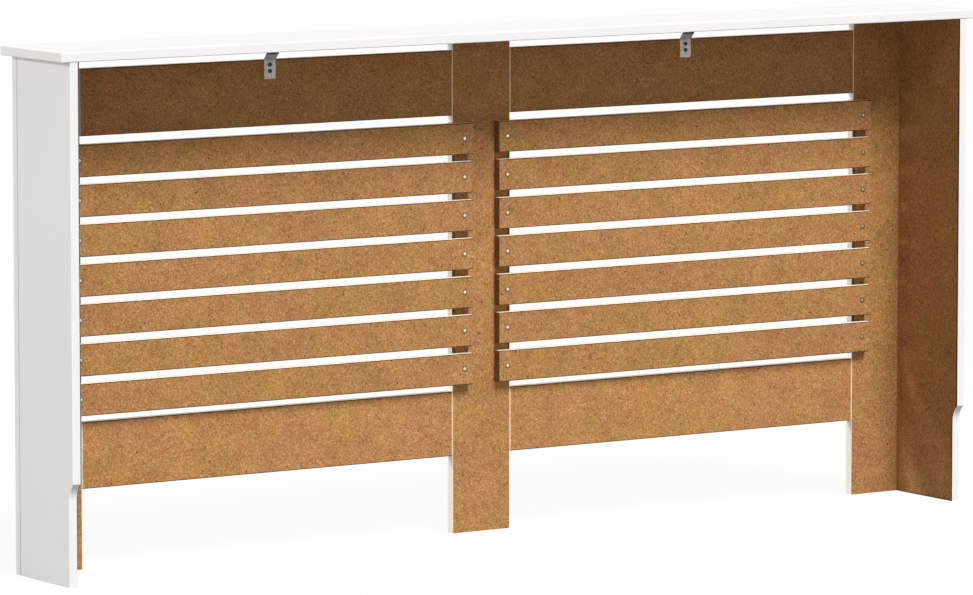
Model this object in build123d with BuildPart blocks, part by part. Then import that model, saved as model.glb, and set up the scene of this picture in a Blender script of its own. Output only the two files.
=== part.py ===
"""Radiator cover cabinet: a slatted front frame, two end panels and a shelf top, open to the wall.

Millimetres. +Z is up, +Y points to the wall and -Y to the room. Left and right are as seen from
the room, so +X is right. The origin is on the floor, in the middle of the shelf top's outline.
"""

from build123d import *
import math
import os

# ---- Overall size ----
overall_width = 1720.0
overall_depth = 190.0
overall_height = 815.0

# ---- Board thicknesses ----
top_thickness = 15.0
side_thickness = 15.0
frame_thickness = 15.0
slat_thickness = 15.0
edge_radius = 1.5  # rounded arris along the faced edges of every board

# ---- Shelf top ----
side_overhang = 14.0
front_overhang = 11.0

# ---- Front frame ----
stile_width = 110.0
post_width = 110.0
top_rail_height = 104.0
bottom_rail_height = 104.0
floor_gap = 125.0  # floor to the bottom rails
top_gap = 25.0  # top rails to the shelf top, lets the warm air out

# ---- Slats ----
slat_height = 50.0
least_slat_gap = 11.0
slat_lap_on_post = 30.0
slat_lap_on_stile = 26.0

# ---- Skirting board notch in each end panel ----
notch_depth = 12.0
notch_height = 160.0
notch_radius = 32.0

# ---- Slat screws, countersunk ----
slat_screw_diameter = 3.5
slat_screw_length = 25.0
slat_screw_head = 7.0
slat_screw_end_distance = 16.0
countersink_angle = 90.0

# ---- Bent steel brackets between the top rails and the shelf top ----
bracket_width = 21.0
bracket_thickness = 2.0
bracket_leg = 30.0
bracket_foot = 30.0
bracket_web_run = 22.0
bracket_bend_radius = 4.0
bracket_corner_radius = 1.5
bracket_screw_diameter = 3.5
bracket_screw_head = 6.5
bracket_screw_head_height = 2.0
bracket_screw_head_round = 1.2
bracket_screw_length = 12.0
bracket_screw_spacing = 10.0
bracket_screw_from_bend = 8.0
bracket_screw_from_tip = 9.0

# ---- Tip and cross recess of the screws ----
screw_tip_length = 3.5
recess_span = 4.2
recess_width = 1.0
recess_depth = 1.3
recess_taper = 8.0

# ---- Wooden dowels in the board joints ----
dowel_diameter = 8.0
dowel_length = 30.0
dowel_bevel = 0.8
dowel_in_face = 10.0  # how far a dowel goes into the flat of a board
rail_dowel_spacing = 60.0
frame_top_dowel_spacing = 60.0
side_top_dowel_spacing = 100.0
side_dowel_end_distance = 70.0
side_dowels_per_panel = 4

# ---- Clearances ----
hole_clearance = 0.1  # on the diameter, round a dowel or a screw
hole_end_clearance = 0.5  # left under a dowel or a screw tip
sheet_hole_clearance = 0.6  # on the diameter, where a screw passes through slat or sheet steel

# ---- Places that follow from the sizes ----
rear_y = overall_depth / 2
frame_front_y = -rear_y + front_overhang
frame_rear_y = frame_front_y + frame_thickness
frame_mid_y = (frame_front_y + frame_rear_y) / 2
slat_rear_y = frame_rear_y + slat_thickness
body_half_width = overall_width / 2 - side_overhang
upright_height = overall_height - top_thickness
side_mid_x = body_half_width - side_thickness / 2

post_edge_x = post_width / 2
stile_edge_x = body_half_width - stile_width
stile_mid_x = body_half_width - stile_width / 2
bay_width = stile_edge_x - post_edge_x
bay_mid_x = (stile_edge_x + post_edge_x) / 2

top_rail_z = upright_height - top_gap - top_rail_height
bottom_rail_z = floor_gap
vent_bottom_z = bottom_rail_z + bottom_rail_height
vent_height = top_rail_z - vent_bottom_z
slat_count = int((vent_height - least_slat_gap) / (slat_height + least_slat_gap))
slat_gap = (vent_height - slat_count * slat_height) / (slat_count + 1)
slat_pitch = slat_height + slat_gap
slat_length = bay_width + slat_lap_on_post + slat_lap_on_stile
slat_inner_x = post_edge_x - slat_lap_on_post
slat_mid_x = slat_inner_x + slat_length / 2
inner_screw_x = slat_inner_x + slat_screw_end_distance
outer_screw_x = slat_inner_x + slat_length - slat_screw_end_distance

dowel_hole_radius = (dowel_diameter + hole_clearance) / 2
dowel_in_edge = dowel_length - dowel_in_face  # the longer share, into the edge of a board
dowel_half_length = dowel_length / 2

SIDES = {"left": -1, "right": 1}
FRONT = (0, -1, 0)
REAR = (0, 1, 0)
UP = (0, 0, 1)
DOWN = (0, 0, -1)

os.makedirs("parts", exist_ok=True)


def save(builder, label):
    """Names a finished piece and writes it as a STEP file."""
    builder.part.label = label
    export_step(builder.part, f"parts/{label}.step")


def facing(points, normal):
    """Planes at the given points whose normal points out of the board."""
    return [Plane(origin=point, z_dir=normal) for point in points]


# ---- Where the joints are ----
def slat_bottom_z(index):
    """Lower edge of a slat, counted from the bottom, from 0."""
    return vent_bottom_z + slat_gap + index * slat_pitch


def slat_screw_points(side, index, y):
    """The two screws of one slat, at mid height, one near each end."""
    z = slat_bottom_z(index) + slat_height / 2
    return [(side * x, y, z) for x in (inner_screw_x, outer_screw_x)]


def upright_screw_points(x):
    """Screw holes in the back of an upright, one for each slat of a bay."""
    heights = [slat_bottom_z(index) + slat_height / 2 for index in range(slat_count)]
    return [(x, frame_rear_y, z) for z in heights]


def rail_dowel_points(x, rail_z, rail_height):
    """The two dowels between one end of a rail and the edge of an upright at x."""
    middle = rail_z + rail_height / 2
    half = rail_dowel_spacing / 2
    return [(x, frame_mid_y, middle + offset) for offset in (-half, half)]


def upright_edge_dowel_points(x):
    """Dowels of both rail joints on the edge of an upright at x."""
    low = rail_dowel_points(x, bottom_rail_z, bottom_rail_height)
    high = rail_dowel_points(x, top_rail_z, top_rail_height)
    return low + high


def side_dowel_points(side):
    """Dowels between an end panel's front edge and the back of its stile."""
    span = upright_height - 2 * side_dowel_end_distance
    step = span / (side_dowels_per_panel - 1)
    heights = [side_dowel_end_distance + index * step for index in range(side_dowels_per_panel)]
    return [(side * side_mid_x, frame_rear_y, z) for z in heights]


def frame_top_dowel_points(x):
    """Dowels between the top end of a stile or post and the shelf top."""
    half = frame_top_dowel_spacing / 2
    return [(x + offset, frame_mid_y, upright_height) for offset in (-half, half)]


def side_top_dowel_points(side):
    """Dowels between an end panel's top edge and the shelf top."""
    middle = (frame_rear_y + rear_y) / 2
    half = side_top_dowel_spacing / 2
    return [(side * side_mid_x, middle + offset, upright_height) for offset in (-half, half)]


top_dowel_points = frame_top_dowel_points(0)
for side in SIDES.values():
    top_dowel_points += frame_top_dowel_points(side * stile_mid_x)
    top_dowel_points += side_top_dowel_points(side)


def bracket_leg_points(side, y):
    """Screws through a bracket's leg into the top rail, one above the other."""
    first = top_rail_z + top_rail_height - bracket_screw_from_bend
    return [(side * bay_mid_x, y, first - row * bracket_screw_spacing) for row in range(2)]


def bracket_foot_points(side, z):
    """Screws through a bracket's foot up into the shelf top."""
    last = frame_rear_y + bracket_web_run + bracket_foot - bracket_screw_from_tip
    return [(side * bay_mid_x, last - row * bracket_screw_spacing, z) for row in range(2)]


# ---- Holes, drilled inside the board that is being made ----
def drill_dowel_holes(points, normal, reach):
    """Blind dowel holes; reach is how far the dowel goes in."""
    with Locations(*facing(points, normal)):
        Hole(radius=dowel_hole_radius, depth=reach + hole_end_clearance)


def drill_pilot_holes(points, normal, screw_diameter, reach):
    """Blind holes that hold the screws' shanks."""
    with Locations(*facing(points, normal)):
        Hole(radius=(screw_diameter + hole_clearance) / 2, depth=reach + hole_end_clearance)


def round_long_edges(builder, axis):
    """Rounds the edges of a board that run along one axis; the sawn ends stay sharp."""
    fillet(builder.edges().filter_by(axis), radius=edge_radius)


# ---- Shelf top ----
with BuildPart() as top_panel:
    with BuildSketch(Plane.XY.offset(upright_height)):
        Rectangle(overall_width, overall_depth)
    extrude(amount=top_thickness)
    fillet(top_panel.edges(), radius=edge_radius)
    drill_dowel_holes(top_dowel_points, DOWN, dowel_in_face)
    for side in SIDES.values():
        drill_pilot_holes(
            bracket_foot_points(side, upright_height),
            DOWN,
            bracket_screw_diameter,
            bracket_screw_length - bracket_thickness,
        )
save(top_panel, "top_panel")


# ---- End panels, notched at the foot for the skirting board ----
notch_front_y = rear_y - notch_depth
notch_angle = math.degrees(math.acos(1 - notch_depth / notch_radius))
notch_curve_z = notch_height - notch_radius * math.sin(math.radians(notch_angle))


def make_side_panel(side):
    """An end panel between its stile's back and the wall."""
    outer_x = side * body_half_width
    inner_x = side * (body_half_width - side_thickness)
    with BuildPart() as panel:
        with BuildSketch(Plane.YZ.offset(min(outer_x, inner_x))):
            with BuildLine():
                Polyline(
                    (rear_y, notch_height),
                    (rear_y, upright_height),
                    (frame_rear_y, upright_height),
                    (frame_rear_y, 0),
                    (notch_front_y, 0),
                    (notch_front_y, notch_curve_z),
                )
                CenterArc(
                    (notch_front_y + notch_radius, notch_curve_z),
                    notch_radius,
                    180 - notch_angle,
                    notch_angle,
                )
            make_face()
        extrude(amount=side_thickness)
        outer_edges = panel.faces().sort_by(Axis.X)[-1 if side > 0 else 0].edges()
        inner_edges = panel.faces().sort_by(Axis.X)[0 if side > 0 else -1].edges()
        rearmost = inner_edges.filter_by_position(Axis.Y, notch_front_y - edge_radius, rear_y)
        fillet(outer_edges + rearmost, radius=edge_radius)
        drill_dowel_holes(side_dowel_points(side), FRONT, dowel_in_edge)
        drill_dowel_holes(side_top_dowel_points(side), UP, dowel_in_edge)
    return panel


for name, side in SIDES.items():
    save(make_side_panel(side), f"side_panel_{name}")


# ---- Front frame uprights ----
def make_upright(mid_x, width, rail_joints, screw_points, panel_dowels=()):
    """An upright board, floor to shelf top; rail_joints gives each jointed edge and its direction."""
    with BuildPart() as upright:
        with BuildSketch(Plane.XY):
            with Locations((mid_x, frame_mid_y)):
                Rectangle(width, frame_thickness)
        extrude(amount=upright_height)
        round_long_edges(upright, Axis.Z)
        drill_dowel_holes(frame_top_dowel_points(mid_x), UP, dowel_in_edge)
        for edge_x, outward in rail_joints:
            edge_points = upright_edge_dowel_points(edge_x)
            drill_dowel_holes(edge_points, (outward, 0, 0), dowel_half_length)
        drill_pilot_holes(
            screw_points, REAR, slat_screw_diameter, slat_screw_length - slat_thickness
        )
        if panel_dowels:
            drill_dowel_holes(panel_dowels, REAR, dowel_in_face)
    return upright


centre_post = make_upright(
    mid_x=0,
    width=post_width,
    rail_joints=[(side * post_edge_x, side) for side in SIDES.values()],
    screw_points=upright_screw_points(-inner_screw_x) + upright_screw_points(inner_screw_x),
)
save(centre_post, "centre_post")

for name, side in SIDES.items():
    stile = make_upright(
        mid_x=side * stile_mid_x,
        width=stile_width,
        rail_joints=[(side * stile_edge_x, -side)],
        screw_points=upright_screw_points(side * outer_screw_x),
        panel_dowels=side_dowel_points(side),
    )
    save(stile, f"stile_{name}")


# ---- Front frame rails ----
def make_rail(side, rail_z, rail_height, holds_bracket):
    """A horizontal board between the centre post and a stile."""
    with BuildPart() as rail:
        with BuildSketch(Plane.XY.offset(rail_z)):
            with Locations((side * bay_mid_x, frame_mid_y)):
                Rectangle(bay_width, frame_thickness)
        extrude(amount=rail_height)
        fillet(rail.edges(), radius=edge_radius)
        for edge_x, outward in ((post_edge_x, -side), (stile_edge_x, side)):
            end_points = rail_dowel_points(side * edge_x, rail_z, rail_height)
            drill_dowel_holes(end_points, (outward, 0, 0), dowel_half_length)
        if holds_bracket:
            drill_pilot_holes(
                bracket_leg_points(side, frame_rear_y),
                REAR,
                bracket_screw_diameter,
                bracket_screw_length - bracket_thickness,
            )
    return rail


for name, side in SIDES.items():
    save(make_rail(side, top_rail_z, top_rail_height, True), f"top_rail_{name}")
    save(make_rail(side, bottom_rail_z, bottom_rail_height, False), f"bottom_rail_{name}")


# ---- Slats, screwed to the back of the frame ----
slat_hole_radius = (slat_screw_diameter + sheet_hole_clearance) / 2
slat_sink_radius = (slat_screw_head + sheet_hole_clearance) / 2


def make_slat(side, index):
    """One slat with a countersunk screw hole near each end."""
    with BuildPart() as slat:
        with BuildSketch(Plane.XY.offset(slat_bottom_z(index))):
            with Locations((side * slat_mid_x, frame_rear_y + slat_thickness / 2)):
                Rectangle(slat_length, slat_thickness)
        extrude(amount=slat_height)
        round_long_edges(slat, Axis.X)
        with Locations(*facing(slat_screw_points(side, index, slat_rear_y), REAR)):
            CounterSinkHole(
                radius=slat_hole_radius,
                counter_sink_radius=slat_sink_radius,
                depth=slat_thickness,
                counter_sink_angle=countersink_angle,
            )
    return slat


for name, side in SIDES.items():
    for index in range(slat_count):
        save(make_slat(side, index), f"slat_{name}_{slat_count - index}")


# ---- Brackets bent from steel strip ----
def make_bracket(side):
    """A leg on the top rail, a sloping web through the air gap, a foot under the shelf top."""
    rail_top_z = top_rail_z + top_rail_height
    with BuildPart() as bracket:
        with BuildSketch(Plane.YZ.offset(side * bay_mid_x - bracket_width / 2)):
            with BuildLine():
                strip = FilletPolyline(
                    (frame_rear_y, rail_top_z - bracket_leg),
                    (frame_rear_y, rail_top_z),
                    (frame_rear_y + bracket_web_run, upright_height),
                    (frame_rear_y + bracket_web_run + bracket_foot, upright_height),
                    radius=bracket_bend_radius,
                )
                offset(strip, amount=bracket_thickness, side=Side.RIGHT)
            make_face()
        extrude(amount=bracket_width)
        leg_end = bracket.edges().filter_by(Axis.Y).group_by(Axis.Z)[0]
        foot_end = bracket.edges().filter_by(Axis.Z).group_by(Axis.Y)[-1]
        fillet(leg_end + foot_end, radius=bracket_corner_radius)
        hole_radius = (bracket_screw_diameter + sheet_hole_clearance) / 2
        leg_rear_y = frame_rear_y + bracket_thickness
        foot_under_z = upright_height - bracket_thickness
        with Locations(*facing(bracket_leg_points(side, leg_rear_y), REAR)):
            Hole(radius=hole_radius, depth=bracket_thickness)
        with Locations(*facing(bracket_foot_points(side, foot_under_z), DOWN)):
            Hole(radius=hole_radius, depth=bracket_thickness)
    return bracket


for name, side in SIDES.items():
    save(make_bracket(side), f"bracket_{name}")


# ---- Screws: the head's top is at the origin and the tip points down ----
with BuildSketch() as cross_recess:
    Rectangle(recess_span, recess_width)
    Rectangle(recess_width, recess_span)

with BuildPart() as countersunk_screw:
    shank_radius = slat_screw_diameter / 2
    head_radius = slat_screw_head / 2
    head_height = (head_radius - shank_radius) / math.tan(math.radians(countersink_angle / 2))
    with BuildSketch(Plane.XZ):
        with BuildLine():
            Polyline(
                (0, 0),
                (head_radius, 0),
                (shank_radius, -head_height),
                (shank_radius, screw_tip_length - slat_screw_length),
                (0, -slat_screw_length),
                close=True,
            )
        make_face()
    revolve(axis=Axis.Z)
    extrude(cross_recess.sketch, amount=-recess_depth, taper=recess_taper, mode=Mode.SUBTRACT)

with BuildPart() as pan_head_screw:
    shank_radius = bracket_screw_diameter / 2
    head_radius = bracket_screw_head / 2
    tip_z = -bracket_screw_head_height - bracket_screw_length
    with BuildSketch(Plane.XZ):
        with BuildLine():
            Polyline(
                (0, 0),
                (head_radius, 0),
                (head_radius, -bracket_screw_head_height),
                (shank_radius, -bracket_screw_head_height),
                (shank_radius, tip_z + screw_tip_length),
                (0, tip_z),
                close=True,
            )
        make_face()
    revolve(axis=Axis.Z)
    head_rim = pan_head_screw.edges().filter_by(GeomType.CIRCLE).group_by(Axis.Z)[-1]
    fillet(head_rim, radius=bracket_screw_head_round)
    extrude(cross_recess.sketch, amount=-recess_depth, taper=recess_taper, mode=Mode.SUBTRACT)

for name, side in SIDES.items():
    with BuildPart() as slat_screws:
        for index in range(slat_count):
            with Locations(*facing(slat_screw_points(side, index, slat_rear_y), REAR)):
                add(countersunk_screw.part)
    save(slat_screws, f"slat_screws_{name}")

head_rear_y = frame_rear_y + bracket_thickness + bracket_screw_head_height
head_under_z = upright_height - bracket_thickness - bracket_screw_head_height
for name, side in SIDES.items():
    with BuildPart() as bracket_screws:
        with Locations(*facing(bracket_leg_points(side, head_rear_y), REAR)):
            add(pan_head_screw.part)
        with Locations(*facing(bracket_foot_points(side, head_under_z), DOWN)):
            add(pan_head_screw.part)
    save(bracket_screws, f"bracket_screws_{name}")


# ---- Dowels, hidden in the joints ----
def add_dowels(points, normal, reach_below):
    """Beech pegs that go in by reach_below against the normal, and stand out by the rest."""
    with Locations(*facing(points, normal)):
        with Locations((0, 0, dowel_half_length - reach_below)):
            Cylinder(radius=dowel_diameter / 2, height=dowel_length)


def bevel_dowels(builder):
    chamfer(builder.edges().filter_by(GeomType.CIRCLE), length=dowel_bevel)


with BuildPart() as rail_dowels:
    for side in SIDES.values():
        for edge_x in (post_edge_x, stile_edge_x):
            edge_points = upright_edge_dowel_points(side * edge_x)
            add_dowels(edge_points, (side, 0, 0), dowel_half_length)
    bevel_dowels(rail_dowels)
save(rail_dowels, "rail_dowels")

with BuildPart() as side_dowels:
    for side in SIDES.values():
        add_dowels(side_dowel_points(side), REAR, dowel_in_face)
    bevel_dowels(side_dowels)
save(side_dowels, "side_dowels")

with BuildPart() as top_dowels:
    add_dowels(top_dowel_points, UP, dowel_in_edge)
    bevel_dowels(top_dowels)
save(top_dowels, "top_dowels")
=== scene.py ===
"""Radiator cover cabinet, seen from its wall side: white film-faced fibreboard with a raw brown back.

Metres, +Z up, +Y to the wall and +X to the right as seen from the room. The shapes are the frame's
own solids; this script gives each of them its finish, and adds the floor, the light and the camera.
"""

import math

import bpy
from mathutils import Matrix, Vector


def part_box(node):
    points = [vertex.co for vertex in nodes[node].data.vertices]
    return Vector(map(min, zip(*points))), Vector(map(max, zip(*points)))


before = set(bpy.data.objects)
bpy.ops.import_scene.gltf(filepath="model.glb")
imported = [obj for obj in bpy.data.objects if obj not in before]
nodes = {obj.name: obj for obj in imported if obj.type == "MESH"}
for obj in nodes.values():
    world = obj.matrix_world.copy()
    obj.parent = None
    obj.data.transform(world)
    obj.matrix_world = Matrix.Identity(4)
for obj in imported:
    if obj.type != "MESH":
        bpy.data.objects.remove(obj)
bpy.context.view_layer.update()

MM = 0.001
WHITE = (1.0, 1.0, 1.0, 1.0)


# ---- Shader expressions ----
NOISE_MIDDLE = 0.5  # the value that noise varies about
DOT_CORE = 0.6  # a dot is full within this share of its radius, and fades out from there


class Wire:
    """An output socket of a shader node. Arithmetic on wires adds Math nodes to the same tree."""

    def __init__(self, finish, socket):
        self.finish = finish
        self.socket = socket

    def __add__(self, other):
        return self.finish.math("ADD", self, other)

    __radd__ = __add__

    def __sub__(self, other):
        return self.finish.math("SUBTRACT", self, other)

    def __rsub__(self, other):
        return self.finish.math("SUBTRACT", other, self)

    def __mul__(self, other):
        return self.finish.math("MULTIPLY", self, other)

    __rmul__ = __mul__

    def __abs__(self):
        return self.finish.math("ABSOLUTE", self)

    def over(self, limit):
        """1 where the value is above the limit, else 0."""
        return self.finish.math("GREATER_THAN", self, limit)

    def either(self, other):
        """The larger of two masks."""
        return self.finish.math("MAXIMUM", self, other)

    def rise(self, low, high):
        """0 before low, 1 past high and a smooth rise between; low may be the larger."""
        values = {"Value": self, "From Min": low, "From Max": high}
        return self.finish.node("ShaderNodeMapRange", {"interpolation_type": "SMOOTHSTEP"}, values)

    def between(self, low, high):
        """Low where the value is 0, high where it is 1, and in proportion between."""
        return self * (high - low) + low


class Finish:
    """One material and the methods that add nodes to it."""

    output_kind = "ShaderNodeOutputMaterial"

    def __init__(self, name):
        self.material = bpy.data.materials.new(name)
        self.start(self.material)

    def start(self, owner):
        """Takes the owner's node tree, emptied."""
        owner.use_nodes = True
        self.tree = owner.node_tree
        self.tree.nodes.clear()

    def end(self, shader):
        """Ends the tree in a shader."""
        output = self.tree.nodes.new(self.output_kind)
        self.tree.links.new(shader.socket, output.inputs["Surface"])

    def node(self, kind, settings=None, inputs=None, output=0):
        """Adds a node: first its settings, then its sockets, as wires or plain values."""
        made = self.tree.nodes.new(kind)
        for name, value in (settings or {}).items():
            setattr(made, name, value)
        for name, value in (inputs or {}).items():
            if isinstance(value, Wire):
                self.tree.links.new(value.socket, made.inputs[name])
            else:
                made.inputs[name].default_value = value
        return Wire(self, made.outputs[output])

    def math(self, operation, *values):
        return self.node("ShaderNodeMath", {"operation": operation}, dict(enumerate(values)))

    def length(self, across, up):
        """How far a point lies from a middle, from its two distances."""
        return self.math("SQRT", across * across + up * up)

    def mix(self, factor, first, second):
        """Blends two colours; the factor is 0 for the first and 1 for the second."""
        settings = {"data_type": "RGBA"}
        return self.node("ShaderNodeMix", settings, {0: factor, 6: first, 7: second}, output=2)

    def shaded(self, colour, shade):
        """A colour made lighter or darker by a factor near 1."""
        grey = self.node("ShaderNodeCombineXYZ", inputs={"X": shade, "Y": shade, "Z": shade})
        return self.node("ShaderNodeVectorMath", {"operation": "MULTIPLY"}, {0: colour, 1: grey})

    def place(self, offset=(0, 0, 0), scale=(1, 1, 1), turn=(0, 0, 0)):
        """Object coordinates, moved, stretched and turned, so that no two boards share one pattern."""
        point = self.node("ShaderNodeTexCoord", output="Object")
        inputs = {"Vector": point, "Location": offset, "Rotation": turn, "Scale": scale}
        return self.node("ShaderNodeMapping", inputs=inputs)

    def noise(self, point, size, detail=2.0, roughness=0.5, distortion=0.0):
        """Soft noise from 0 to 1, with lumps of about the given size in metres."""
        inputs = {
            "Vector": point,
            "Scale": 1 / size,
            "Detail": detail,
            "Roughness": roughness,
            "Distortion": distortion,
        }
        return self.node("ShaderNodeTexNoise", inputs=inputs)

    def dots(self, point, spacing, radius):
        """1 inside small round spots that lie at random, about a spacing apart, else 0."""
        inputs = {"Vector": point, "Scale": 1 / spacing}
        distance = self.node("ShaderNodeTexVoronoi", inputs=inputs, output="Distance")
        return distance.rise(radius / spacing, DOT_CORE * radius / spacing)

    def along(self, axis):
        """How far along an axis a point of the surface lies, in metres."""
        return self.node("ShaderNodeSeparateXYZ", inputs={"Vector": self.place()}, output=axis)

    def facing(self, axis):
        """How far the surface faces along an axis, from -1 to 1."""
        normal = self.node("ShaderNodeNewGeometry", output="Normal")
        return self.node("ShaderNodeSeparateXYZ", inputs={"Vector": normal}, output=axis)

    def surface(self, colour, roughness, height, metallic=0.0, specular=0.5):
        """The material's one shader; height is the relief in metres."""
        normal = self.node("ShaderNodeBump", inputs={"Height": height, "Distance": 1.0})
        inputs = {
            "Base Color": colour,
            "Roughness": roughness,
            "Metallic": metallic,
            "Specular IOR Level": specular,
            "Normal": normal,
        }
        self.end(self.node("ShaderNodeBsdfPrincipled", inputs=inputs))
        return self.material


def linear(red, green, blue):
    """A colour from its 0 to 255 values on screen."""

    def channel(value):
        share = value / 255
        return share / 12.92 if share <= 0.04045 else ((share + 0.055) / 1.055) ** 2.4

    return (channel(red), channel(green), channel(blue), 1.0)


def grey(level):
    """A grey from its linear level."""
    return (level, level, level, 1.0)


# ---- Raw fibreboard ----
RAW_TAN = linear(177, 129, 81)
RAW_YELLOW = linear(174, 133, 67)
RAW_RED = linear(181, 119, 78)
RAW_BLUSH = linear(178, 121, 94)
RAW_PALE = linear(222, 184, 136)
RAW_DARK = linear(122, 80, 44)
RAW_SPECK = linear(45, 22, 12)

CLOUD_SIZE = 150 * MM
SHADE_SIZE = 45 * MM
BLOTCH_SIZE = 25 * MM
FUZZ_SIZE = 3.0 * MM
CURL_SIZE = 5 * MM
CURL_PATCH = 10 * MM
SPECK_SPACING = 23 * MM
SPECK_RADIUS = 1.6 * MM
RAW_RELIEF = 0.10 * MM
NOISE_TURN = (0.9, 0.5, 0.3)  # radians, so that no face lies along the noise's own grid

# The values of its noise where a tint starts and where it is full. The fuzz varies about 0.
CLOUDS_YELLOW_AT = (0.35, 0.65)
FUZZ_YELLOW_AT = (0.5, 0.2)
BLUSH_AT = (0.5, 0.8)
RED_AT = (0.4, 0.7)
PALE_CURLS_AT = (0.5, 0.35)
DARK_CURLS_AT = (0.5, 0.65)
PALE_FUZZ_AT = (0.05, 0.35)
DARK_FUZZ_AT = (-0.05, -0.35)
CURL_WIDTH = 0.07  # to each side of a curl's middle line

# How strong each tint is where it is full.
CLOUDS_YELLOW = 0.7
FUZZ_YELLOW = 0.6
BLUSH = 0.7
RED = 0.55
PALE_FIBRE = 0.24
DARK_FIBRE = 0.45

RAW_TONE = 1.02
TONE_BY_FUZZ = 0.55
TONE_BY_SHADE = 0.4
RAW_ROUGHNESS = 0.85
ROUGHNESS_BY_FUZZ = 0.3


def raw_board(finish, offset):
    """Colour, roughness and relief of bare pressed fibre: clouds, fuzz, curled fibres and specks."""
    point = finish.place(offset, turn=NOISE_TURN)
    other_point = finish.place(offset[::-1], turn=NOISE_TURN)

    clouds = finish.noise(point, CLOUD_SIZE).rise(*CLOUDS_YELLOW_AT)
    blotches = finish.noise(point, BLOTCH_SIZE, detail=3.0, distortion=0.5).rise(*RED_AT)
    tint = finish.noise(other_point, FUZZ_SIZE, detail=0.0)
    yellow = clouds * CLOUDS_YELLOW + tint.rise(*FUZZ_YELLOW_AT) * FUZZ_YELLOW
    colour = finish.mix(yellow, RAW_TAN, RAW_YELLOW)
    colour = finish.mix(tint.rise(*BLUSH_AT) * BLUSH, colour, RAW_BLUSH)
    colour = finish.mix(blotches * RED, colour, RAW_RED)

    fuzz = finish.noise(point, FUZZ_SIZE, detail=0.0) - NOISE_MIDDLE
    curl_noise = finish.noise(point, CURL_SIZE, detail=0.0, distortion=0.8)
    curl = abs(curl_noise - NOISE_MIDDLE).rise(CURL_WIDTH, 0.0)
    curl_patch = finish.noise(point, CURL_PATCH, detail=0.0)
    pale = curl * curl_patch.rise(*PALE_CURLS_AT) + fuzz.rise(*PALE_FUZZ_AT)
    dark = curl * curl_patch.rise(*DARK_CURLS_AT) + fuzz.rise(*DARK_FUZZ_AT)
    colour = finish.mix(pale * PALE_FIBRE, colour, RAW_PALE)
    colour = finish.mix(dark * DARK_FIBRE, colour, RAW_DARK)

    shade = finish.noise(point, SHADE_SIZE, detail=1.0) - NOISE_MIDDLE
    colour = finish.shaded(colour, RAW_TONE + fuzz * TONE_BY_FUZZ + shade * TONE_BY_SHADE)
    specks = finish.dots(point, SPECK_SPACING, SPECK_RADIUS)
    colour = finish.mix(specks, colour, RAW_SPECK)
    return colour, RAW_ROUGHNESS + fuzz * ROUGHNESS_BY_FUZZ, fuzz * RAW_RELIEF


# ---- White film ----
FILM_WHITE = linear(231, 231, 231)
FILM_SHADE = linear(228, 228, 228)
# painted light: the film that faces the wall is whiter than the rest, as if lit more by the lamp
# behind
LIT_REAR_EDGE = linear(243, 242, 241)
INNER_EDGE = linear(252, 245, 234)
# painted shade: the uprights' edges between the slats, where the slats shade them
SHADED_TUCKED_EDGE = linear(216, 206, 190)
# painted highlight: the cream rim along the arrises next to the bare back, and on edges that face up
RIM_HIGHLIGHT = linear(250, 226, 190)
JOINT_LINE = linear(190, 190, 190)

FILM_CLOUD = 200 * MM
PEEL_SIZE = 1.5 * MM
FILM_RELIEF = 0.006 * MM
FILM_ROUGHNESS = (0.6, 0.7)  # where its clouds are 0 and 1
REAR_FROM = 0.1  # rear edges and the notches face the wall by more than this


def white_film(finish, offset, tints):
    """Colour, roughness and relief of the semi-matt film. The tints are masks and their colours."""
    point = finish.place(offset)
    clouds = finish.noise(point, FILM_CLOUD)
    peel = finish.noise(point, PEEL_SIZE, detail=1.0)
    colour = finish.mix(clouds, FILM_WHITE, FILM_SHADE)
    # painted light on the film that faces the wall
    rear = finish.facing("Y").over(REAR_FROM)
    for mask, tint in [(rear, LIT_REAR_EDGE), *tints]:
        colour = finish.mix(mask, colour, tint)
    return colour, clouds.between(*FILM_ROUGHNESS), peel * FILM_RELIEF


# ---- Boards ----
BOARD_SPECULAR = 0.2

# How far a surface faces an axis, where 1 is straight towards it.
FACE_ON = 0.9  # above this it is flat, and not part of a rounded arris
EDGE_WITHIN = 0.3  # a board's edge faces the wall by less than this
RIM_FROM = 0.2  # above this an arris is the bright rim next to the bare back, a painted highlight in cream
FILM_TO = 0.985  # the film of an upright edge comes round its arris up to here
LEVEL_FROM = 0.05  # an arris that faces up or down by more than this belongs to a level edge
GLUE_FROM = 0.45  # the film of a level edge stops here, and a dark line of glue goes on
GLUE_TO = 0.99  # up to here
CREAM_FROM = 0.5  # an edge that faces up by more than this is creamier

# How much darker each is than the bare board, from 0 to 1.
# sawn ends: the bare end grain is darker, and part of this darkness is painted shade
SAWN_SHADE = 0.5
GLUE_SHADE = 0.88
# painted shade of the corner on a side panel's bare rear inner arris
SEAM_SHADE = 0.92
# painted contact shadow at a side panel's foot
FOOT_SHADE = 0.6
# painted shade on an upright between the slats' ends, nearly black at its edge
TUCKED_SHADE = 0.4
BORDER_SHADE = 0.74
# painted shade of the countersinks, with dark torn fibre
SINK_SHADE = 0.42
BARE_ABOVE = 0.6  # what is shaded by more than this is bare, also where film would be

UPWARD_CREAM = 0.45  # how strong the rim's colour is on an edge that faces up

FRAME_HALF = 840 * MM  # edges nearer to the middle are creamy; farther out is the joint's grey line

# The dark seam at a side panel's rear inner edge: bare board, painted nearly black as painted shade of
# the corner. How far out it reaches, how far up it starts.
LEFT_SEAM = (831.9 * MM, 0.0)
RIGHT_SEAM = (832.8 * MM, 27 * MM)
SEAM_STRIP = 92.5 * MM  # from here back the bare inner face is part of the seam
SHADOWED_FOOT = 1.8 * MM  # up to here the bare inner face is darkened, a painted contact shadow

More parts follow.
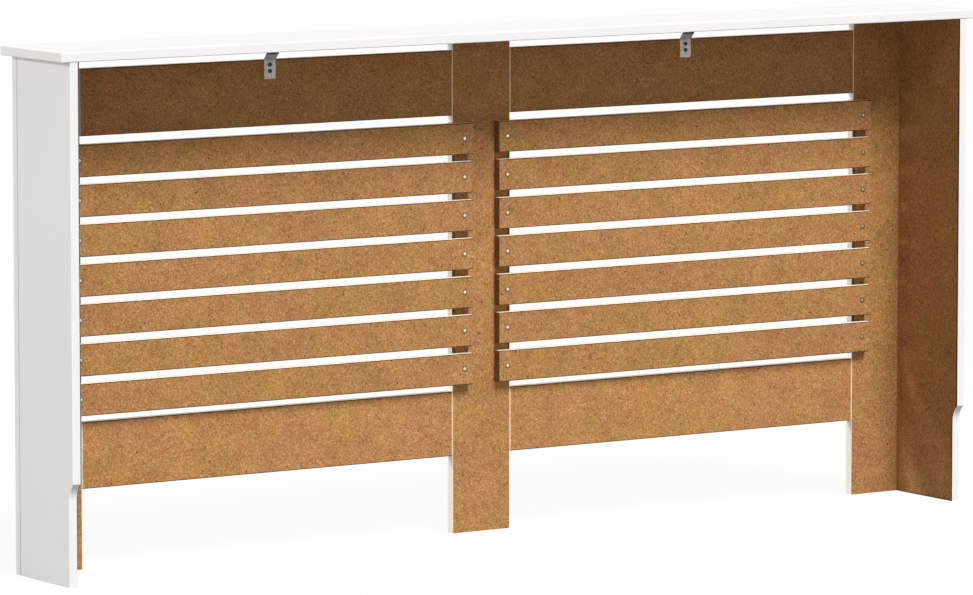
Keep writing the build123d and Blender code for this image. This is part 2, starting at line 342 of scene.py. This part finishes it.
SLAT_MIDDLE = 393.5 * MM  # the middle of a slat, across the part
TUCKED_ACROSS = (338 * MM, 368.5 * MM)  # from there, where an upright shows between the slats' ends
TUCKED_HEIGHTS = (240 * MM, 660 * MM)  # the lowest and the highest gap between the slats
BAY_MIDDLE = 395.5 * MM  # halfway between the edges of two uprights, across the part
BORDER_TO = 345.5 * MM  # up to this far from there, an upright between the slats is painted nearly black, as painted shade

SCREW_FROM_MIDDLE = 352.5 * MM  # from the middle of a slat
SINK_INNER = 4.2 * MM
SINK_OUTER = 5.6 * MM


def board(name, offset, bare_side, tone):
    """A board that is bare on one side and at its sawn ends, and covered in film elsewhere."""
    finish = Finish(name)
    bare, dark, tints = bare_side(finish)
    film = 1 - bare
    raw_colour, raw_roughness, raw_height = raw_board(finish, offset)
    film_colour, film_roughness, film_height = white_film(finish, offset, tints)
    raw_colour = finish.shaded(raw_colour, tone * (1 - dark))
    return finish.surface(
        finish.mix(bare, film_colour, raw_colour),
        bare * raw_roughness + film * film_roughness,
        bare * raw_height + film * film_height,
        specular=BOARD_SPECULAR,
    )


def slat_heights(finish):
    """1 from the lowest to the highest gap between the slats, else 0."""
    low, high = TUCKED_HEIGHTS
    return 1 - abs(finish.along("Z") - (low + high) / 2).over((high - low) / 2)


# Each of these gives where a board is bare, how dark it is there, and the film's masks and tints.
def bare_back(end_axis, shade=None):
    """For the frame's boards and the slats; the axis is that of the sawn ends."""

    def masks(finish):
        towards = finish.facing("Y")
        sawn = abs(finish.facing(end_axis)).over(FACE_ON)
        inner = 1 - abs(finish.along("X")).over(FRAME_HALF)
        edge = 1 - abs(towards).over(EDGE_WITHIN)
        arris = towards.over(RIM_FROM)
        level = abs(finish.facing("Z")).over(LEVEL_FROM) * towards.over(GLUE_FROM)
        glue = level * (1 - towards.over(GLUE_TO)) * GLUE_SHADE
        bare = towards.over(FILM_TO).either(level).either(sawn)
        dark = (sawn * SAWN_SHADE).either(glue)
        if shade:
            dark = dark.either(shade(finish))
            bare = bare.either(dark.over(BARE_ABOVE))
        rim_highlight = arris.either(finish.facing("Z").over(CREAM_FROM) * UPWARD_CREAM)
        tints = [(inner * edge, INNER_EDGE)]
        # painted shade on the uprights' edges between the slats
        if end_axis == "Z":
            tints.append((inner * edge * slat_heights(finish), SHADED_TUCKED_EDGE))
        tints += [(inner * rim_highlight, RIM_HIGHLIGHT), (arris * (1 - inner), JOINT_LINE)]
        return bare, dark, tints

    return masks


def bare_underside(finish):
    return (finish.facing("Z") * -1).over(FACE_ON), 0.0, []


def bare_inside(inward, seam_half, seam_foot):
    """For a side panel; inward is 1 or -1, the way along X that its bare face looks."""

    def masks(finish):
        inside = (finish.facing("X") * inward).over(FACE_ON)
        sawn = abs(finish.facing("Z")).over(FACE_ON)
        # the seam: bare board darkened as painted shade of the corner
        seam = finish.facing("Y").over(REAR_FROM) * finish.along("Z").over(seam_foot)
        seam = seam * (1 - abs(finish.along("X")).over(seam_half))
        seam = seam.either(inside * finish.along("Y").over(SEAM_STRIP))
        # painted contact shadow along the foot
        foot = 1 - finish.along("Z").over(SHADOWED_FOOT)
        bare = inside.either(sawn).either(seam)
        dark = (sawn * SAWN_SHADE).either(seam * SEAM_SHADE).either(foot * FOOT_SHADE)
        return bare, dark, []

    return masks


def painted_shade_behind_slats(finish):
    """Painted shade on the parts of an upright between the ends of the slats, nearly black at its
    edge.
    """
    nearest, farthest = TUCKED_ACROSS
    across = abs(abs(finish.along("X")) - SLAT_MIDDLE)
    tucked = across.over(nearest) * (1 - across.over(farthest)) * slat_heights(finish)
    beyond = abs(abs(finish.along("X")) - BAY_MIDDLE).over(BORDER_TO)
    border = (1 - beyond) * finish.facing("Y").over(RIM_FROM)
    return tucked * (border * BORDER_SHADE).either(TUCKED_SHADE)


def countersunk(height):
    """Dark torn fibre and painted shade of the countersink round the two screws of the slat whose
    middle is at the height.
    """

    def shade(finish):
        across = abs(abs(abs(finish.along("X")) - SLAT_MIDDLE) - SCREW_FROM_MIDDLE)
        radius = finish.length(across, finish.along("Z") - height)
        return radius.rise(SINK_OUTER, SINK_INNER) * SINK_SHADE

    return shade


# ---- Metal and dowels ----
METAL_RELIEF = 0.01 * MM

STEEL_LIGHT = linear(214, 211, 204)
STEEL_DULL = linear(188, 186, 184)
STEEL_MOTTLE = 4 * MM
STEEL_DULL_AT = (0.3, 0.7)
STEEL_ROUGHNESS = (0.4, 0.65)
BRUSH_SIZE = 0.8 * MM
BRUSH_SCALE = (1, 1, 0.08)
WEB_SHADE_AT = (771 * MM, 775 * MM)  # over this rise the bracket's sloping middle gets darker, painted shade from the shelf above
WEB_DEEP_SHADE_AT = (782.5 * MM, 784.5 * MM)  # and over this one darker still, painted shade where it meets the shelf
WEB_SHADE = 0.4
WEB_DEEP_SHADE = 0.5


def bracket_steel(name):
    """Dull plated steel strip, with fine mottling and brush strokes, and painted shade under the shelf
    at the top of its sloping middle.
    """
    finish = Finish(name)
    mottle = finish.noise(finish.place(), STEEL_MOTTLE, detail=3.0)
    brushed = finish.noise(finish.place(scale=BRUSH_SCALE), BRUSH_SIZE)
    colour = finish.mix(mottle.rise(*STEEL_DULL_AT), STEEL_LIGHT, STEEL_DULL)
    up = finish.along("Z")
    shade = 1 - up.rise(*WEB_SHADE_AT) * WEB_SHADE - up.rise(*WEB_DEEP_SHADE_AT) * WEB_DEEP_SHADE
    colour = finish.shaded(colour, shade)
    roughness = mottle.between(*STEEL_ROUGHNESS)
    return finish.surface(colour, roughness, brushed * METAL_RELIEF, metallic=0.5)


ZINC_BRIGHT = linear(255, 248, 234)
ZINC_WARM = linear(250, 238, 216)
ZINC_RIM_SHADE = linear(132, 116, 86)
ZINC_SMUDGE = 1.5 * MM
ZINC_ROUGHNESS = (0.2, 0.4)
SLAT_SCREW_HEAD = 7 * MM
HEAD_HIGHLIGHT = 2.0 * MM  # the bright part of a screw head, a painted highlight
HEAD_SHADE_FROM = 2.9 * MM  # from here on the head is dark brown, painted shade at its rim
HIGHLIGHT_RAISE = 0.7 * MM  # how far above the head's middle the painted highlight lies


def bright_zinc(name, node_name, rows):
    """Zinc plated heads in two columns and evenly spaced rows, with a painted highlight within and
    painted shade at the rim.
    """
    finish = Finish(name)
    low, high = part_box(node_name)
    half_span = (high.x - low.x - SLAT_SCREW_HEAD) / 2
    row_pitch = (high.z - low.z - SLAT_SCREW_HEAD) / (rows - 1)
    across = abs(abs(finish.along("X") - (low.x + high.x) / 2) - half_span)
    first_row = low.z + SLAT_SCREW_HEAD / 2 + HIGHLIGHT_RAISE
    up = finish.math("PINGPONG", finish.along("Z") - first_row, row_pitch / 2)
    rim_shade = finish.length(across, up).rise(HEAD_HIGHLIGHT, HEAD_SHADE_FROM)
    smudge = finish.noise(finish.place(), ZINC_SMUDGE)
    colour = finish.mix(rim_shade, finish.mix(smudge, ZINC_BRIGHT, ZINC_WARM), ZINC_RIM_SHADE)
    roughness = smudge.between(*ZINC_ROUGHNESS)
    return finish.surface(colour, roughness, smudge * METAL_RELIEF, metallic=0.85)


PHOSPHATE_DARK = linear(78, 75, 72)
PHOSPHATE_LIGHT = linear(96, 91, 86)
PHOSPHATE_GRAIN = 0.8 * MM
PHOSPHATE_ROUGHNESS = (0.45, 0.65)


def dark_phosphate(name):
    finish = Finish(name)
    grain = finish.noise(finish.place(), PHOSPHATE_GRAIN)
    colour = finish.mix(grain, PHOSPHATE_DARK, PHOSPHATE_LIGHT)
    roughness = grain.between(*PHOSPHATE_ROUGHNESS)
    return finish.surface(colour, roughness, grain * METAL_RELIEF, metallic=0.5)


BEECH_PALE = linear(222, 184, 140)
BEECH_RAY = linear(196, 150, 104)
RAY_SIZE = 0.8 * MM
RAY_SCALE = (1, 1, 0.2)
RAYS_AT = (0.4, 0.65)
BEECH_RELIEF = 0.05 * MM
BEECH_ROUGHNESS = (0.6, 0.8)


def beech(name):
    """Pale wood with short darker rays."""
    finish = Finish(name)
    rays = finish.noise(finish.place(scale=RAY_SCALE), RAY_SIZE, detail=3.0)
    colour = finish.mix(rays.rise(*RAYS_AT), BEECH_PALE, BEECH_RAY)
    return finish.surface(colour, rays.between(*BEECH_ROUGHNESS), rays * BEECH_RELIEF)


# ---- Every node gets its finish ----
SLATS_PER_BAY = 7
PATTERN_STEP = (1.7, 0.9, 2.3)  # from one board's pattern to the next one's

# The tone of a board's bare side. The lighter tones of the bottom rail and the post are painted light
# on the lower parts; the darker tone of the side panels' inner faces is painted shade.
PAINTED_LIGHT_TONE = 1.07
SLIGHT_PAINTED_LIGHT_TONE = 1.03
PLAIN = 1.0
PAINTED_SHADE_TONE = 0.92

small_parts = {
    "bracket_screws": dark_phosphate("dark_screw"),
    "slat_screws_left": bright_zinc("zinc_screw_left", "slat_screws_left", SLATS_PER_BAY),
    "slat_screws_right": bright_zinc("zinc_screw_right", "slat_screws_right", SLATS_PER_BAY),
    "bracket": bracket_steel("bracket_steel"),
}
dowel_finish = beech("beech_dowel")
boards = {
    "top_panel": (bare_underside, PLAIN),
    "side_panel_left": (bare_inside(1, *LEFT_SEAM), PAINTED_SHADE_TONE),
    "side_panel_right": (bare_inside(-1, *RIGHT_SEAM), PAINTED_SHADE_TONE),
    "top_rail": (bare_back("X"), PLAIN),
    "bottom_rail": (bare_back("X"), PAINTED_LIGHT_TONE),
    "centre_post": (bare_back("Z", painted_shade_behind_slats), SLIGHT_PAINTED_LIGHT_TONE),
    "stile": (bare_back("Z", painted_shade_behind_slats), PLAIN),
}


def first_match(name, table):
    """The first entry whose key the name starts with, or None."""
    return next((entry for start, entry in table.items() if name.startswith(start)), None)


def bare_side_and_tone(name):
    if name.startswith("slat"):
        low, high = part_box(name)
        return bare_back("X", countersunk((low.z + high.z) / 2)), PLAIN
    return first_match(name, boards)


def node_finish(number, name):
    """The material of one node, of which the number tells the boards' patterns apart."""
    if name.endswith("dowels"):
        return dowel_finish
    offset = tuple(number * step for step in PATTERN_STEP)
    return first_match(name, small_parts) or board(name, offset, *bare_side_and_tone(name))


for node_number, node_name in enumerate(sorted(nodes)):
    node_material = node_finish(node_number, node_name)
    for slot in nodes[node_name].material_slots:
        slot.material = node_material


# ---- Floor ----
FLOOR_SIZE = 60.0
FLOOR_BOUNCE = 0.28  # the grey that the object is lit by
FLOOR_PALE = 0.8  # the grey that takes the shadow
FLOOR_GLOW = 0.93  # the share of plain white in the floor that is seen

bpy.ops.object.select_all(action="DESELECT")
bpy.ops.mesh.primitive_plane_add(size=FLOOR_SIZE, location=(0, 0, 0))
floor = bpy.context.object
floor.name = "floor"


def seen(finish):
    """1 for what is seen directly, in gloss or through glass, and 0 for what lights the object."""
    rays = ("Is Camera Ray", "Is Glossy Ray", "Is Transmission Ray")
    camera_ray, gloss_ray, glass_ray = [finish.node("ShaderNodeLightPath", output=ray) for ray in rays]
    return camera_ray.either(gloss_ray).either(glass_ray)


floor_finish = Finish("pale_floor")
bounce = floor_finish.node("ShaderNodeBsdfDiffuse", inputs={"Color": grey(FLOOR_BOUNCE)})
pale = floor_finish.node("ShaderNodeBsdfDiffuse", inputs={"Color": grey(FLOOR_PALE)})
glow = floor_finish.node("ShaderNodeEmission", inputs={"Color": WHITE, "Strength": 1.0})
seen_floor = floor_finish.node("ShaderNodeMixShader", inputs={0: FLOOR_GLOW, 1: pale, 2: glow})
either_floor = {0: seen(floor_finish), 1: bounce, 2: seen_floor}
floor_finish.end(floor_finish.node("ShaderNodeMixShader", inputs=either_floor))
floor.data.materials.append(floor_finish.material)


# ---- Light ----
SKY_LEVEL = 0.70
SKY_LIGHT_AT = (0.6, 0.1)  # the sky gives no light above the first height; straight up is 1


class Sky(Finish):
    """The world's nodes, with the same methods as a material's."""

    output_kind = "ShaderNodeOutputWorld"

    def __init__(self, name):
        self.world = bpy.data.worlds.new(name)
        self.start(self.world)


sky = Sky("studio")
direction = sky.node("ShaderNodeTexCoord", output="Generated")
sky_height = sky.node("ShaderNodeSeparateXYZ", inputs={"Vector": direction}, output="Z")
seen_sky = seen(sky)
strength = SKY_LEVEL * sky_height.rise(*SKY_LIGHT_AT) * (1 - seen_sky) + seen_sky
sky.end(sky.node("ShaderNodeBackground", inputs={"Color": WHITE, "Strength": strength}))
bpy.context.scene.world = sky.world


def softbox(name, azimuth, elevation, level, spread):
    """A far, soft lamp. It shines from an azimuth that is measured from +Y towards +X, in degrees."""
    lamp = bpy.data.lights.new(name, "SUN")
    lamp.energy = level
    lamp.angle = math.radians(spread)
    holder = bpy.data.objects.new(name, lamp)
    holder.rotation_euler = (math.radians(90 - elevation), 0, math.radians(180 - azimuth))
    bpy.context.scene.collection.objects.link(holder)


softbox("key", azimuth=-3, elevation=51.5, level=3.52, spread=24)
softbox("fill", azimuth=108, elevation=24, level=1.05, spread=10)
softbox("left", azimuth=94, elevation=2, level=0.75, spread=8)
softbox("front", azimuth=180, elevation=2, level=1.8, spread=8)
softbox("right", azimuth=266, elevation=2, level=1.8, spread=8)


# ---- Camera ----
CAMERA_PLACE = (5.77914, 8.73754, 1.57566)
CAMERA_HEADING = 33.32  # degrees from straight at the back, towards +X
CAMERA_FALL = 6.494  # degrees below level
FOCAL_LENGTH = 245.33  # millimetres, as is the sensor's width
SENSOR_WIDTH = 36.0
FARTHEST = 100.0

camera_data = bpy.data.cameras.new("camera")
camera_data.lens = FOCAL_LENGTH
camera_data.sensor_width = SENSOR_WIDTH
camera_data.clip_end = FARTHEST
camera = bpy.data.objects.new("camera", camera_data)
camera.location = CAMERA_PLACE
camera.rotation_euler = (math.radians(90 - CAMERA_FALL), 0, math.radians(180 - CAMERA_HEADING))
bpy.context.scene.collection.objects.link(camera)
bpy.context.scene.camera = camera
bpy.context.scene.view_settings.view_transform = "Standard"

bpy.context.view_layer.update()
